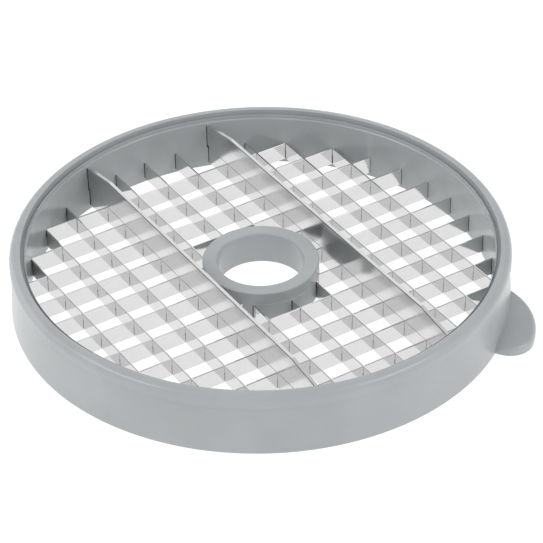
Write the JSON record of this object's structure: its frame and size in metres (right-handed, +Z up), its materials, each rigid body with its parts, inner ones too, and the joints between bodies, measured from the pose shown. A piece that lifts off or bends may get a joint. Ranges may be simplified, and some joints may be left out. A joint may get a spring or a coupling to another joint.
{
  "type": "vegetable dicing grid",
  "caption": "Round dicing grid: a moulded ring with a finger lug and a bored hub, joined by crossing steel blades and taller support bars.",
  "frame": {"origin": "on the hub bore's axis, in the plane of the hub's lower face and the blades' lower edges", "axes": "+Z up along the bore, out of the cutting edges' side; +Y along the support bars; +X along the cross blades"},
  "size_m": [0.185, 0.185, 0.0244],
  "materials": {
    "ring_plastic": "satin moulded",
    "hub_plastic": "satin moulded",
    "bar_steel": "cold rolled",
    "blade_steel": "cold rolled"
  },
  "bodies": {
    "root": {"ring_frame": "ring_plastic", "hub_ring": "hub_plastic", "support_bar_left": "bar_steel", "support_bar_right": "bar_steel", "long_blade_01": "blade_steel", "long_blade_02": "blade_steel", "long_blade_03": "blade_steel", "long_blade_05_front": "blade_steel", "long_blade_05_rear": "blade_steel", "long_blade_06_front": "blade_steel", "long_blade_06_rear": "blade_steel", "long_blade_07_front": "blade_steel", "long_blade_07_rear": "blade_steel", "long_blade_09": "blade_steel", "long_blade_10": "blade_steel", "long_blade_11": "blade_steel", "cross_blade_01": "blade_steel", "cross_blade_02": "blade_steel", "cross_blade_03": "blade_steel", "cross_blade_04": "blade_steel", "cross_blade_05_left": "blade_steel", "cross_blade_05_right": "blade_steel", "cross_blade_06_left": "blade_steel", "cross_blade_06_right": "blade_steel", "cross_blade_07_left": "blade_steel", "cross_blade_07_right": "blade_steel", "cross_blade_08": "blade_steel", "cross_blade_09": "blade_steel", "cross_blade_10": "blade_steel", "cross_blade_11": "blade_steel"}
  },
  "joints": []
}
